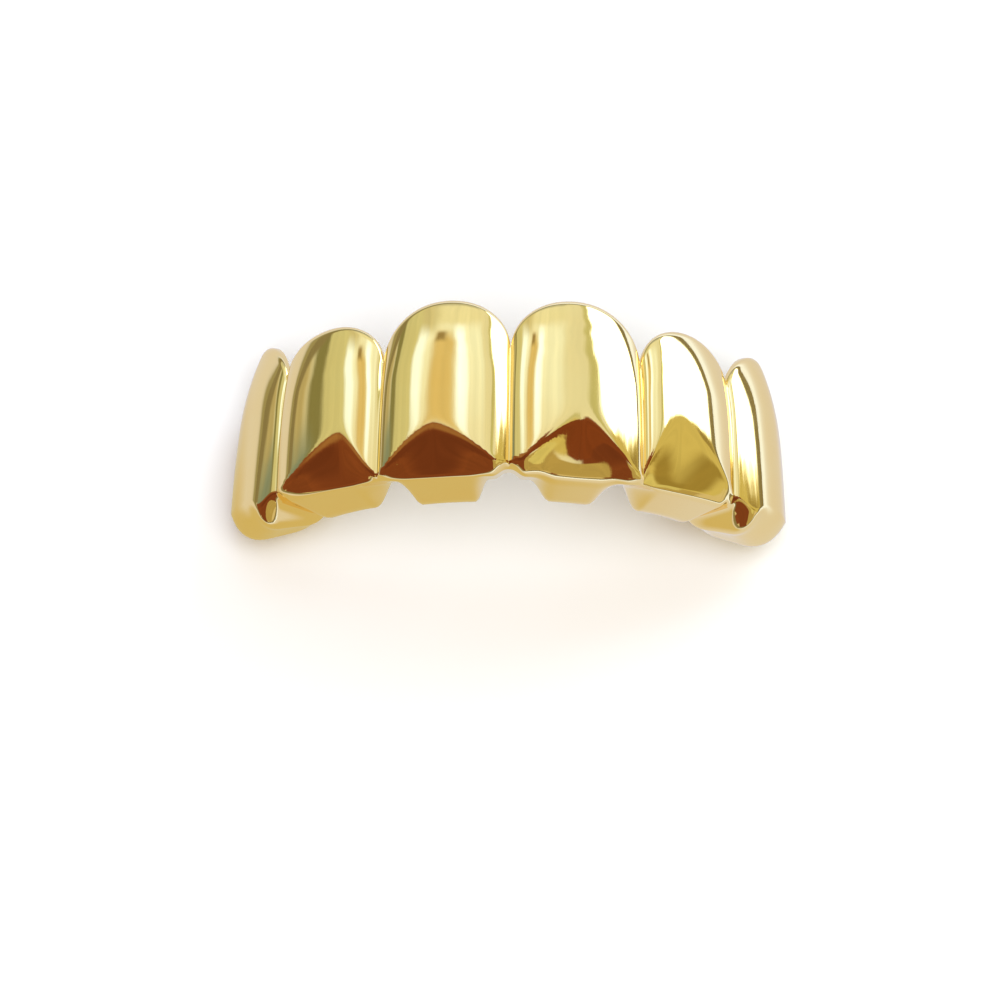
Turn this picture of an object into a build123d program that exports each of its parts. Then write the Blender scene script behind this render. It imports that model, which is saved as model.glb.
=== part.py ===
from build123d import *
import os
from collections import namedtuple
from math import cos, hypot, pi, radians, sin, sqrt

# A cover for the six upper front teeth, cast in one piece: six domed caps side by side along the arch of
# the teeth, a shelf turned under their biting edges, a low lip behind them and a wall at each end of the row.
# It lies on its two end walls: +X is across the mouth, +Y towards the gum and +Z out of the lips.
# The origin is at the middle of the box's floor. Lengths are in millimetres.

# Casting: its wall, thinned towards the gum rim, and the roundness of its edges
WALL = 0.8
RIM_WALL = 0.6
RIM_ROLL = 0.3
EDGE_ROUND = 0.45

# Row of caps, seen from above
CENTRAL_WIDTH = 9.6
LATERAL_WIDTH = 7.9
CENTRAL_TURN = 18.0
LATERAL_TURN = 22.0
ARCH_DEPTH = 12.3

# Caps, seen from the front: heights from the biting edge of the two central caps
CENTRAL_HEIGHT = 15.1
LATERAL_HEIGHT = 13.9
CANINE_HEIGHT = 14.9
CANINE_PEAK = -0.10
CUSP_DROP = 1.7
CUSP_FLAT_IN = 0.5
CUSP_FLAT_OUT = 0.1
CORNER_LIFT = 0.9

# Caps, seen from the side. The row leans out towards the biting edge by the flare. Above the share
# CREST_SHARE of its height a face turns in towards the gum, and it is slightly bellied about the share
# BELLY_MIDDLE.
FACE_BULGE = 1.35
FLARE = 1.0
CREST_SHARE = 0.62
RIM_SLOPE = 0.36
BELLY = 0.25
BELLY_MIDDLE = 0.55

# Lower part of a face: it turns in towards the biting edge under an arched line, which is highest near the
# middle of the cap and comes down to the edge at the grooves. The turn would reach BEVEL_OVER times the
# bulge, and it is blended into the face where the two cross.
BEVEL_SHARE = 0.31
BEVEL_OVER = 1.3
BEVEL_POWER = 1.15
BEVEL_BLEND = 16.0
ARCH_POWER = 1.2

# Underside and back
SHELF_DEPTH = 5.4
NOTCH_RISE = 2.0
CANINE_RISE = 2.3
LIP_HEIGHT = 5.4
LIP_SCALLOP = 0.8
LIP_LEAN = 2.8
HEEL_ROUND = 1.4

# Fineness of the facets
ACROSS_COUNT = 12
FACE_COUNT = 9
EDGE_COUNT = 3
SHELF_COUNT = 3
HEEL_COUNT = 3
LIP_COUNT = 2

# Fullness of a face across the cap: most of it is slightly domed, and its flanks roll into the grooves,
# where a web of metal stands out between the caps. SIDE_POWER is how gradually a face turns in at the gum.
FLANK_POWER = 24.0
FLANK_SHARE = 0.4
GROOVE_WEB = 0.38
WEB_POWER = 3.0
SIDE_POWER = 2.2

# One row per cap from the middle outwards. width to rim are shares of the named size that each follows,
# tab_in, tab_out and soft are shares of half the cap's width, and crown is the roundness of the gumline.
# dome is how flat the face is across, crest and arch_peak are how far its crest and its bevel's top stand
# off the middle, and arch_fall is the share of the bevel that is lost at the grooves.
CAP_FIELDS = "width gum drop rise depth bulge edge bevel rim tab_in tab_out soft crown"
Cap = namedtuple("Cap", CAP_FIELDS + " dome crest arch_peak arch_fall")
LEFT_CAPS = [
    Cap(0.99, 0.995, 0.0, 0.0, 1.00, 1.00, 0.6, 0.78, 1.0, 0.53, 0.70, 0.14, 2.0, 3.3, 0.0, 0.12, 0.9),
    Cap(1.05, 0.995, 0.0, 0.0, 0.91, 0.88, 0.6, 1.0, 0.7, 0.62, 0.80, 0.18, 2.0, 3.3, 0.2, -0.4, 0.9),
    Cap(1.00, 0.985, 1.0, 1.0, 0.99, 0.75, 5.3, 0.2, 0.8, 0.70, 0.70, 0.30, 1.5, 1.4, 0.0, 0.0, 0.2),
]
RIGHT_CAPS = [
    Cap(1.015, 1.00, 0.0, 0.0, 0.95, 1.00, 2.9, 1.0, 1.0, 0.46, 0.57, 0.22, 2.0, 3.3, 0.0, 0.04, 0.9),
    Cap(0.945, 1.00, 0.0, 0.0, 0.91, 0.88, 1.2, 1.25, 1.0, 0.72, 0.85, 0.18, 2.0, 3.3, -0.25, -0.35, 0.45),
    Cap(1.00, 0.955, 1.0, 1.0, 0.96, 1.10, 5.3, 0.2, 0.8, 0.70, 0.70, 0.30, 1.5, 1.4, 0.0, 0.0, 0.2),
]

# One row per groove: the midline, between central and lateral, between lateral and canine, and the end of
# the row. valley is a share of the central height, the others are shares of the size that each follows.
Groove = namedtuple("Groove", "valley lift rise depth edge")
GROOVES = [
    Groove(0.715, 0.65, 0.95, 0.91, 0.6),
    Groove(0.665, 0.10, 1.00, 0.85, 0.6),
    Groove(0.695, 0.30, 0.20, 0.85, 1.0),
    Groove(0.500, 1.2, 0.90, 0.85, 5.3),
]


def ease(low, high, x):
    """A smooth step from 0 at low to 1 at high."""
    t = min(max((x - low) / (high - low), 0.0), 1.0)
    return t ** 3 * (10.0 - 15.0 * t + 6.0 * t * t)


def between(a, b, t):
    return a + (b - a) * t


def arch_arcs(caps):
    """Start, heading, turn and radius of the arc under each cap of one side."""
    widths = (CENTRAL_WIDTH * caps[0].width, LATERAL_WIDTH * caps[1].width)
    turns = (radians(CENTRAL_TURN), radians(LATERAL_TURN))
    arcs = []
    x = z = heading = 0.0
    for width, turn in zip(widths, turns):
        radius = width / (2.0 * sin(turn / 2.0))
        arcs.append((x, z, heading, turn, radius))
        x += radius * (sin(heading + turn) - sin(heading))
        z += radius * (cos(heading + turn) - cos(heading))
        heading += turn
    # The canine's arc turns the row straight back at the arch's full depth.
    arcs.append((x, z, heading, pi / 2.0 - heading, (ARCH_DEPTH + z) / cos(heading)))
    return arcs


def station(arc, side, u):
    """Place on the arch at u from -1 to 1 across a cap, and the way out of it."""
    x, z, heading, turn, radius = arc
    angle = heading + turn * (u + 1.0) / 2.0
    across = x + radius * (sin(angle) - sin(heading))
    back = z + radius * (cos(angle) - cos(heading))
    return (side * across, back), (side * sin(angle), cos(angle))


def leaned(u, peak):
    """Places across a cap with its middle moved to the place peak and its sides kept."""
    return u - peak * (1.0 - u * u)


def pillow(u, dome):
    """How far the face stands out at u, from 0 in the grooves to 1 at its crest."""
    out = min(abs(u), 1.0)
    flank = 1.0 - sqrt(max(0.0, 1.0 - out ** FLANK_POWER))
    return 1.0 - between(out ** dome, flank, FLANK_SHARE)


Levels = namedtuple("Levels", "gum bite rise depth full bulge edge bevel rim lip")


def levels(caps, index, u):
    """The section's sizes at u: the cap's own at its middle, the groove's at its sides."""
    cap = caps[index]
    groove = GROOVES[index + 1] if u > 0 else GROOVES[index]
    out = abs(u)
    height = (CENTRAL_HEIGHT, LATERAL_HEIGHT, CANINE_HEIGHT)[index] * cap.gum
    valley = CENTRAL_HEIGHT * groove.valley
    # A canine's gumline peaks a little off the middle of the cap.
    peak = abs(leaned(u, CANINE_PEAK)) if cap.drop > 0.0 else out
    crown = max(0.0, 1.0 - peak ** cap.crown) ** (1.0 / cap.crown)
    # A canine's edge rises from its cusp, the others' only at their corners.
    cusp = CUSP_FLAT_OUT if u > 0 else CUSP_FLAT_IN
    corner = ease(cusp, 1.0, out) if cap.drop > 0.0 else ease(0.72, 1.0, out)
    tab = cap.tab_out if u > 0 else cap.tab_in
    notch = ease(tab - cap.soft, tab + cap.soft, out)
    side = ease(0.3, 1.0, out)
    arched = 1.0 - cap.arch_fall * abs(leaned(u, cap.arch_peak)) ** ARCH_POWER
    full = FACE_BULGE * cap.bulge
    bulge = full * pillow(leaned(u, cap.crest), cap.dome)
    if index < 2 or u <= 0:
        bulge = (bulge ** WEB_POWER + GROOVE_WEB ** WEB_POWER) ** (1.0 / WEB_POWER)
    return Levels(
        gum=between(valley, height, crown),
        bite=between(-CUSP_DROP * cap.drop, CORNER_LIFT * groove.lift, corner),
        rise=between(CANINE_RISE * cap.rise, NOTCH_RISE * groove.rise, notch),
        depth=SHELF_DEPTH * between(cap.depth, groove.depth, notch),
        full=full,
        bulge=bulge,
        edge=EDGE_ROUND * between(cap.edge, groove.edge, side),
        bevel=BEVEL_SHARE * cap.bevel * arched,
        rim=RIM_SLOPE * cap.rim * crown,
        lip=LIP_HEIGHT - LIP_SCALLOP * ease(0.0, 1.0, out),
    )


def bevel_front(lv, v):
    """How far out the bevel lets the face stand at the share v of its height, and its lean there."""
    reach = lv.bevel / (1.0 - (1.0 - 1.0 / BEVEL_OVER) ** (1.0 / BEVEL_POWER))
    low = max(0.0, (reach - v) / reach)
    most = BEVEL_OVER * lv.full
    lean = most * BEVEL_POWER / (reach * (lv.gum - lv.bite)) * low ** (BEVEL_POWER - 1.0)
    return most * (1.0 - low ** BEVEL_POWER), lean


def domed(lv, front):
    """Share of the bevel's reach that the dome leaves, near 1 where the bevel is the lower of the two."""
    if lv.bulge <= 0.0:
        return 0.0
    return lv.bulge / (lv.bulge ** BEVEL_BLEND + front ** BEVEL_BLEND) ** (1.0 / BEVEL_BLEND)


def rim_turn(v):
    """How far the share v of the height is into the turn to the gum."""
    return max(0.0, (v - CREST_SHARE) / (1.0 - CREST_SHARE))


def face_point(lv, v):
    """A point of the outer face at the share v of its height, without the rolled rim."""
    height = lv.gum - lv.bite
    y = lv.bite + v * height
    front, lean = bevel_front(lv, v)
    x = front * domed(lv, front) + FLARE * (1.0 - y / CENTRAL_HEIGHT)
    x -= BELLY * (v / BELLY_MIDDLE - 1.0) ** 2
    x -= lv.rim * (1.0 - CREST_SHARE) * height / SIDE_POWER * rim_turn(v) ** SIDE_POWER
    return Vector(x, y)


def face_slope(lv, v):
    """How far the face leans at the share v of its height."""
    height = lv.gum - lv.bite
    front, lean = bevel_front(lv, v)
    lean *= domed(lv, front) ** (BEVEL_BLEND + 1.0)
    lean -= 2.0 * BELLY * (v / BELLY_MIDDLE - 1.0) / (BELLY_MIDDLE * height)
    return lean - lv.rim * rim_turn(v) ** (SIDE_POWER - 1.0) - FLARE / CENTRAL_HEIGHT


def straight(a, b, count):
    return [a + (b - a) * (k / count) for k in range(1, count + 1)]


def rounded(a, corner, b, count):
    """Points of a rounded corner from a to b."""
    steps = [k / count for k in range(1, count + 1)]
    return [a * (1 - t) ** 2 + corner * (2 * t * (1 - t)) + b * t ** 2 for t in steps]


def crossing(p, along_p, q, along_q):
    """Where the line from p meets the line from q."""
    share = (q - p).cross(along_q).Z / along_p.cross(along_q).Z
    return p + along_p * share


def chain(face, edge, heel, top, edge_round, heel_round):
    """One skin of the section: down the face, round the edge, along the shelf and up the lip."""
    back = (heel - edge).normalized()
    up = (top - heel).normalized()
    points = list(face)
    points += rounded(face[-1], edge, edge + back * edge_round, EDGE_COUNT)
    points += straight(points[-1], heel - back * heel_round, SHELF_COUNT)
    points += rounded(points[-1], heel, heel + up * heel_round, HEEL_COUNT)
    points += straight(points[-1], top, LIP_COUNT)
    return points


def outer_section(lv):
    height = lv.gum - lv.bite
    start = lv.edge / height
    face = []
    for k in range(FACE_COUNT + 1):
        v = between(1.0, start, (k / FACE_COUNT) ** 1.3)
        point = face_point(lv, v)
        near = min(max(1.0 - (lv.gum - point.Y) / (2.0 * RIM_ROLL), 0.0), 1.0)
        roll = RIM_ROLL * (1.0 - sqrt(1.0 - near ** 2))
        face.append(point - Vector(roll, 0))
    edge = face_point(lv, 0.0)
    heel = edge + Vector(-lv.depth, lv.rise)
    top = Vector(heel.X - LIP_LEAN, lv.lip)
    return chain(face, edge, heel, top, lv.edge, min(HEEL_ROUND, 0.45 * (top - heel).length))


def inner_section(lv):
    """The outer section set in by the wall, square to each of its faces."""
    height = lv.gum - lv.bite
    edge = face_point(lv, 0.0)
    heel = edge + Vector(-lv.depth, lv.rise)
    top = Vector(heel.X - LIP_LEAN, lv.lip)
    down = Vector(face_slope(lv, 0.0), 1.0).normalized()
    back = (heel - edge).normalized()
    up = (top - heel).normalized()
    face_in = edge + Vector(-down.Y, down.X) * WALL
    shelf_in = edge + Vector(back.Y, -back.X) * WALL
    lip_in = top + Vector(up.Y, -up.X) * WALL
    edge_in = crossing(face_in, down, shelf_in, back)
    heel_in = crossing(shelf_in, back, lip_in, up)
    top_in = crossing(lip_in, up, top, Vector(1.0, 0.0))
    edge_round = max(lv.edge - WALL, 0.35 * WALL)
    heel_round = min(HEEL_ROUND - WALL, 0.45 * (top_in - heel_in).length)
    start = (edge_in.Y + edge_round - lv.bite) / height
    face = []
    for k in range(FACE_COUNT + 1):
        v = between(1.0, start, (k / FACE_COUNT) ** 1.3)
        wall = between(WALL, RIM_WALL, ease(CREST_SHARE, 1.0, v))
        face.append(face_point(lv, v) - Vector(wall * hypot(1.0, face_slope(lv, v)), 0))
    return chain(face, edge_in, heel_in, top_in, edge_round, heel_round)


def placed(points, arc, side, u):
    """Section points stood on the arch: X across, Y towards the gum, Z out of the lips."""
    (x, z), (out_x, out_z) = station(arc, side, u)
    return [(x + out_x * p.X, p.Y, z + out_z * p.X) for p in points]


def side_columns(caps, side):
    """Outer and inner skins of one side, section by section from the midline to the end wall."""
    arcs = arch_arcs(caps)
    columns = []
    for index, arc in enumerate(arcs):
        first = 1 if index else 0
        # The canine's inner skin stops one wall short of the end.
        reach = 1.0 - (WALL / (arc[4] * arc[3]) if index == 2 else 0.0)
        for k in range(first, ACROSS_COUNT + 1):
            u = sin(between(-pi / 2.0, pi / 2.0, k / ACROSS_COUNT))
            u_in = (u + 1.0) * reach - 1.0
            outside = levels(caps, index, u)
            inside = levels(caps, index, u_in)._replace(gum=outside.gum)
            outer = placed(outer_section(outside), arc, side, u)
            inner = placed(inner_section(inside), arc, side, u_in)
            columns.append((outer, inner))
    return columns


def strip(row_a, row_b):
    """Triangles between two rows of points, cut along the shorter diagonal."""
    faces = []
    for a, b, c, d in zip(row_a, row_a[1:], row_b[1:], row_b):
        if (Vector(*a) - Vector(*c)).length < (Vector(*b) - Vector(*d)).length:
            faces += [(a, b, c), (a, c, d)]
        else:
            faces += [(a, b, d), (b, c, d)]
    return faces


def skin(columns):
    """Every facet of the closed solid."""
    faces = []
    for (outer_a, inner_a), (outer_b, inner_b) in zip(columns, columns[1:]):
        faces += strip(outer_a, outer_b)
        faces += strip(inner_a, inner_b)
        faces += strip([outer_a[0], inner_a[0]], [outer_b[0], inner_b[0]])
        faces += strip([outer_a[-1], inner_a[-1]], [outer_b[-1], inner_b[-1]])
    for outer, inner in (columns[0], columns[-1]):
        faces += [tuple(outer), tuple(inner)]
        faces += strip([outer[0], inner[0]], [outer[-1], inner[-1]])
    return faces


def settled(columns):
    """The same columns with the origin at the middle of the box's floor."""
    points = [p for outer, inner in columns for p in outer + inner]
    low = [min(p[k] for p in points) for k in range(3)]
    high = [max(p[k] for p in points) for k in range(3)]
    dx, dy, dz = (low[0] + high[0]) / 2.0, (low[1] + high[1]) / 2.0, low[2]
    return [[[(x - dx, y - dy, z - dz) for x, y, z in row] for row in column] for column in columns]


def tooth_cover():
    """The whole casting as one solid."""
    left = side_columns(LEFT_CAPS, -1)
    right = side_columns(RIGHT_CAPS, 1)
    columns = settled(left[:0:-1] + right)
    faces = [Face(Wire.make_polygon([Vector(*p) for p in facet], close=True)) for facet in skin(columns)]
    return Solid(Shell(faces))


os.makedirs("parts", exist_ok=True)
cover = tooth_cover()
cover.label = "tooth_cover"
export_step(cover, "parts/tooth_cover.step")
print("volume", round(cover.volume, 1), "valid", cover.is_valid, "box", cover.bounding_box())
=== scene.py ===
"""Looks of a gold tooth cover.

The cover is one mirror-polished casting over six upper front teeth: a row of caps along the arch, a shelf
under their biting edges, a lip behind and a wall at each end. It lies on its two end walls.
"""

import logging
import math
from dataclasses import dataclass, field, replace
from enum import Enum
from typing import Iterator, Sequence

import bpy
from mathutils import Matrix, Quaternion, Vector


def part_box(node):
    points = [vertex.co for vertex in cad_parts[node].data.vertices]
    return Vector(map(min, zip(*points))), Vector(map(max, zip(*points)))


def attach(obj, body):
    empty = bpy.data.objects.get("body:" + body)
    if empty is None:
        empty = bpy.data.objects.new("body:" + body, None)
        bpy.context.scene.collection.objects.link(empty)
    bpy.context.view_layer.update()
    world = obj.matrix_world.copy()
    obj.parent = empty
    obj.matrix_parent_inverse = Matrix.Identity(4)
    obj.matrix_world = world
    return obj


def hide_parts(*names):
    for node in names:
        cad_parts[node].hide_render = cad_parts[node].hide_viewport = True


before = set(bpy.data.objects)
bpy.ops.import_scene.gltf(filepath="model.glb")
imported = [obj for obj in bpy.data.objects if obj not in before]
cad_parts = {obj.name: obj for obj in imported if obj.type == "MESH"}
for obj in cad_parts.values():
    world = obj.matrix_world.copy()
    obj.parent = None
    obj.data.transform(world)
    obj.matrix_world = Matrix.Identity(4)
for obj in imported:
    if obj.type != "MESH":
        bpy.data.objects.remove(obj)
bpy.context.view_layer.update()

LOG = logging.getLogger("tooth_cover")
MM = 0.001
CENTRAL, LATERAL, CANINE = range(3)
Point2 = tuple[float, float]
Point3 = tuple[float, float, float]
Colour = tuple[float, float, float]
Socket = bpy.types.NodeSocket


class Side(Enum):
    """Side of the midline, as the sign of its X."""

    LEFT = -1
    RIGHT = 1


def clamp(value: float, low: float = 0.0, high: float = 1.0) -> float:
    """Keep a value between two limits."""
    return min(max(value, low), high)


def ease(low: float, high: float, x: float) -> float:
    """Step smoothly from 0 at low to 1 at high, with no kink in its curvature."""
    t = clamp((x - low) / (high - low))
    return t * t * t * (10.0 + t * (6.0 * t - 15.0))


def between(a: float, b: float, t: float) -> float:
    """Give the value at the share t of the way from a to b."""
    return a + (b - a) * t


def leaned(u: float, peak: float) -> float:
    """Shift places across a cap so that about the place peak becomes its middle, with its sides kept."""
    return u - peak * (1.0 - u * u)


def added(p: Point2, q: Point2, share: float = 1.0) -> Point2:
    """Add a share of q to p."""
    return (p[0] + q[0] * share, p[1] + q[1] * share)


def unit(p: Point2, q: Point2) -> Point2:
    """Give the direction from p to q, of length 1.

    Args:
        p: Where it starts.
        q: Where it points.

    Returns:
        The direction, sideways for two equal points.
    """
    dx, dy = q[0] - p[0], q[1] - p[1]
    length = math.hypot(dx, dy) or 1.0
    return (dx / length, dy / length)


def gap(p: Point2, q: Point2) -> float:
    """Give the distance from p to q."""
    return math.hypot(q[0] - p[0], q[1] - p[1])


def straight(a: Point2, b: Point2, count: int) -> list[Point2]:
    """Give count points from a to b, without a."""
    return [(between(a[0], b[0], k / count), between(a[1], b[1], k / count)) for k in range(1, count + 1)]


def rounded(a: Point2, corner: Point2, b: Point2, count: int) -> list[Point2]:
    """Give count points of a rounded corner from a to b, without a.

    Args:
        a: Where the rounding starts.
        corner: The sharp corner that it replaces.
        b: Where the rounding ends.
        count: How many points.

    Returns:
        Points of the curve, b last.
    """
    points = []
    for k in range(1, count + 1):
        t = k / count
        near, mid, far = (1 - t) ** 2, 2 * t * (1 - t), t * t
        x = a[0] * near + corner[0] * mid + b[0] * far
        y = a[1] * near + corner[1] * mid + b[1] * far
        points.append((x, y))
    return points


def crossing(p: Point2, along_p: Point2, q: Point2, along_q: Point2) -> Point2:
    """Give the point where the line from p meets the line from q.

    Args:
        p: Point of the first line.
        along_p: Its direction.
        q: Point of the second line.
        along_q: Its direction.

    Returns:
        The point that both lines share.
    """
    turn = along_p[0] * along_q[1] - along_p[1] * along_q[0]
    share = ((q[0] - p[0]) * along_q[1] - (q[1] - p[1]) * along_q[0]) / turn
    return added(p, along_p, share)


def inset(points: Sequence[Point2], amount: float, sharpest: float = 0.35) -> list[Point2]:
    """Move a closed outline inwards by an even amount.

    Args:
        points: The outline, clockwise.
        amount: How far each of its sides moves.
        sharpest: Lowest divisor at a sharp corner, which keeps the corner's own move short.

    Returns:
        The smaller outline, point for point.
    """
    moved = []
    for before, here, after in zip([points[-1], *points[:-1]], points, [*points[1:], points[0]]):
        first, second = unit(before, here), unit(here, after)
        inward = (first[1] + second[1], -first[0] - second[0])
        reach = max(1.0 + first[0] * second[0] + first[1] * second[1], sharpest)
        moved.append(added(here, inward, amount / reach))
    return moved


@dataclass(frozen=True)
class CapForm:
    """One cap: shares of the casting's sizes that give it its own form.

    The tab's two sides and their softness are shares of half the cap's width. The crown is the roundness of
    the gumline, and the dome is how flat the face is across. crest and arch_peak are how far the crest of the
    face and the top of its bevel stand off the cap's middle, and arch_fall is the share of the bevel that is
    lost at the grooves.
    """

    width: float = 1.0
    gum: float = 1.0
    drop: float = 0.0
    rise: float = 0.0
    depth: float = 0.91
    bulge: float = 0.88
    edge: float = 0.6
    bevel: float = 1.0
    rim: float = 1.0
    tab_in: float = 0.70
    tab_out: float = 0.70
    soft: float = 0.18
    crown: float = 2.0
    dome: float = 3.3
    crest: float = 0.0
    arch_peak: float = 0.0
    arch_fall: float = 0.9


@dataclass(frozen=True)
class GrooveForm:
    """One groove between two caps, or the end of the row: shares of the casting's sizes."""

    valley: float
    lift: float
    rise: float
    depth: float
    edge: float


CANINE_FORM = CapForm(
    drop=1.0, rise=1.0, edge=5.3, bevel=0.2, rim=0.8, soft=0.30, crown=1.5, dome=1.4, arch_fall=0.2
)
LEFT_FORMS = (
    CapForm(
        width=0.99, gum=0.995, depth=1.00, bulge=1.00, bevel=0.78, tab_in=0.53, soft=0.14, arch_peak=0.12
    ),
    CapForm(width=1.05, gum=0.995, rim=0.7, tab_in=0.62, tab_out=0.80, crest=0.2, arch_peak=-0.4),
    replace(CANINE_FORM, gum=0.985, depth=0.99, bulge=0.75),
)
RIGHT_FORMS = (
    CapForm(
        width=1.015, depth=0.95, bulge=1.00, edge=2.9, tab_in=0.46, tab_out=0.57, soft=0.22, arch_peak=0.04
    ),
    CapForm(
        width=0.945,
        edge=1.2,
        bevel=1.25,
        tab_in=0.72,
        tab_out=0.85,
        crest=-0.25,
        arch_peak=-0.35,
        arch_fall=0.45,
    ),
    replace(CANINE_FORM, gum=0.955, depth=0.96, bulge=1.10),
)
GROOVE_FORMS = (
    GrooveForm(valley=0.715, lift=0.65, rise=0.95, depth=0.91, edge=0.6),
    GrooveForm(valley=0.665, lift=0.10, rise=1.00, depth=0.85, edge=0.6),
    GrooveForm(valley=0.695, lift=0.30, rise=0.20, depth=0.85, edge=1.0),
    GrooveForm(valley=0.500, lift=1.2, rise=0.90, depth=0.85, edge=5.3),
)


@dataclass(frozen=True)
class Levels:
    """Sizes of one section of the row, in millimetres."""

    gum: float
    bite: float
    rise: float
    depth: float
    full: float
    bulge: float
    edge: float
    bevel: float
    rim: float
    lip: float

    @property
    def height(self) -> float:
        """Height of the face from the biting edge to the gumline."""
        return self.gum - self.bite


@dataclass(frozen=True)
class Casting:
    """Sizes of the cast cover in millimetres, the same as the solid's."""

    wall: float = 0.8
    rim_wall: float = 0.6
    rim_roll: float = 0.3
    edge_round: float = 0.45
    central_width: float = 9.6
    lateral_width: float = 7.9
    central_turn: float = 18.0
    lateral_turn: float = 22.0
    arch_depth: float = 12.3
    heights: tuple[float, float, float] = (15.1, 13.9, 14.9)
    canine_peak: float = -0.10
    cusp_drop: float = 1.7
    cusp_flat: tuple[float, float] = (0.5, 0.1)
    corner_lift: float = 0.9
    face_bulge: float = 1.35
    flare: float = 1.0
    crest_share: float = 0.62
    rim_slope: float = 0.36
    belly: float = 0.25
    belly_middle: float = 0.55
    bevel_share: float = 0.31
    bevel_over: float = 1.3
    bevel_power: float = 1.15
    bevel_blend: float = 16.0
    arch_power: float = 1.2
    shelf_depth: float = 5.4
    notch_rise: float = 2.0
    canine_rise: float = 2.3
    lip_height: float = 5.4
    lip_scallop: float = 0.8
    lip_lean: float = 2.8
    heel_round: float = 1.4
    heel_share: float = 0.45
    inner_edge_share: float = 0.35
    flank_power: float = 24.0
    flank_share: float = 0.40
    flank_start: float = 0.3
    corner_start: float = 0.72
    side_power: float = 2.2
    groove_web: float = 0.38
    web_power: float = 3.0
    rim_fillet: float = 0.12
    lip_fillet: float = 0.30
    end_round: float = 0.35
    end_margin: float = 0.12
    left_caps: tuple[CapForm, ...] = LEFT_FORMS
    right_caps: tuple[CapForm, ...] = RIGHT_FORMS
    grooves: tuple[GrooveForm, ...] = GROOVE_FORMS

    def caps(self, side: Side) -> tuple[CapForm, ...]:
        """Caps of one side from the midline outwards."""
        return self.left_caps if side is Side.LEFT else self.right_caps

    def pillow(self, u: float, dome: float) -> float:
        """How far a face with that dome stands out at u, from 0 in the grooves to 1 at its crest.

        Args:
            u: Place across the cap, -1 to 1.
            dome: Power of the dome.

        Returns:
            The share of the full bulge.
        """
        out = min(abs(u), 1.0)
        flank = 1.0 - math.sqrt(max(0.0, 1.0 - out**self.flank_power))
        return 1.0 - between(out**dome, flank, self.flank_share)

    def levels(self, side: Side, index: int, u: float) -> Levels:
        """Find the sizes of the section at one place along the row.

        Args:
            side: Side of the midline.
            index: Cap, CENTRAL, LATERAL or CANINE.
            u: Place across the cap, from -1 near the midline to 1.

        Returns:
            The cap's own sizes at its middle, the groove's at its sides.
        """
        cap = self.caps(side)[index]
        groove = self.grooves[index + 1] if u > 0 else self.grooves[index]
        out = min(abs(u), 1.0)
        valley = self.heights[0] * groove.valley
        peak = abs(leaned(u, self.canine_peak)) if cap.drop else out
        crown = max(0.0, 1.0 - peak**cap.crown) ** (1.0 / cap.crown)
        arched = 1.0 - cap.arch_fall * abs(leaned(u, cap.arch_peak)) ** self.arch_power
        cusp = self.cusp_flat[1] if u > 0 else self.cusp_flat[0]
        corner = ease(cusp, 1.0, out) if cap.drop else ease(self.corner_start, 1.0, out)
        tab = cap.tab_out if u > 0 else cap.tab_in
        notch = ease(tab - cap.soft, tab + cap.soft, out)
        flank = ease(self.flank_start, 1.0, out)
        full = self.face_bulge * cap.bulge
        bulge = full * self.pillow(leaned(u, cap.crest), cap.dome)
        if not (index == CANINE and u > 0):
            bulge = (bulge**self.web_power + self.groove_web**self.web_power) ** (1.0 / self.web_power)
        return Levels(
            gum=between(valley, self.heights[index] * cap.gum, crown),
            bite=between(-self.cusp_drop * cap.drop, self.corner_lift * groove.lift, corner),
            rise=between(self.canine_rise * cap.rise, self.notch_rise * groove.rise, notch),
            depth=self.shelf_depth * between(cap.depth, groove.depth, notch),
            full=full,
            bulge=bulge,
            edge=self.edge_round * between(cap.edge, groove.edge, flank),
            bevel=self.bevel_share * cap.bevel * arched,
            rim=self.rim_slope * cap.rim * crown,
            lip=self.lip_height - self.lip_scallop * ease(0.0, 1.0, out),
        )


@dataclass(frozen=True)
class Fineness:
    """How many steps each stretch of the casting is made with, and how they crowd at its ends."""

    across: int = 46
    face: int = 56
    edge: int = 10
    shelf: int = 22
    heel: int = 12
    lip: int = 10
    rim: int = 8
    turn: int = 6
    end_edge: int = 20
    inner_divide: int = 2
    evenness: float = 0.3
    face_crowding: float = 1.45
    inner_crowding: float = 1.3


@dataclass(frozen=True)
class Arc:
    """Arc of the arch under one cap."""

    x: float
    z: float
    heading: float
    turn: float
    radius: float

    @property
    def length(self) -> float:
        """Length along the arc."""
        return self.radius * self.turn

    def at(self, share: float) -> tuple[float, float]:
        """Place on the arc, sideways and outwards, at a share of its length.

        Args:
            share: Share of the arc's length.

        Returns:
            X and Z of the place.
        """
        angle = self.heading + self.turn * share
        across = self.x + self.radius * (math.sin(angle) - math.sin(self.heading))
        outward = self.z + self.radius * (math.cos(angle) - math.cos(self.heading))
        return across, outward


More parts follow.
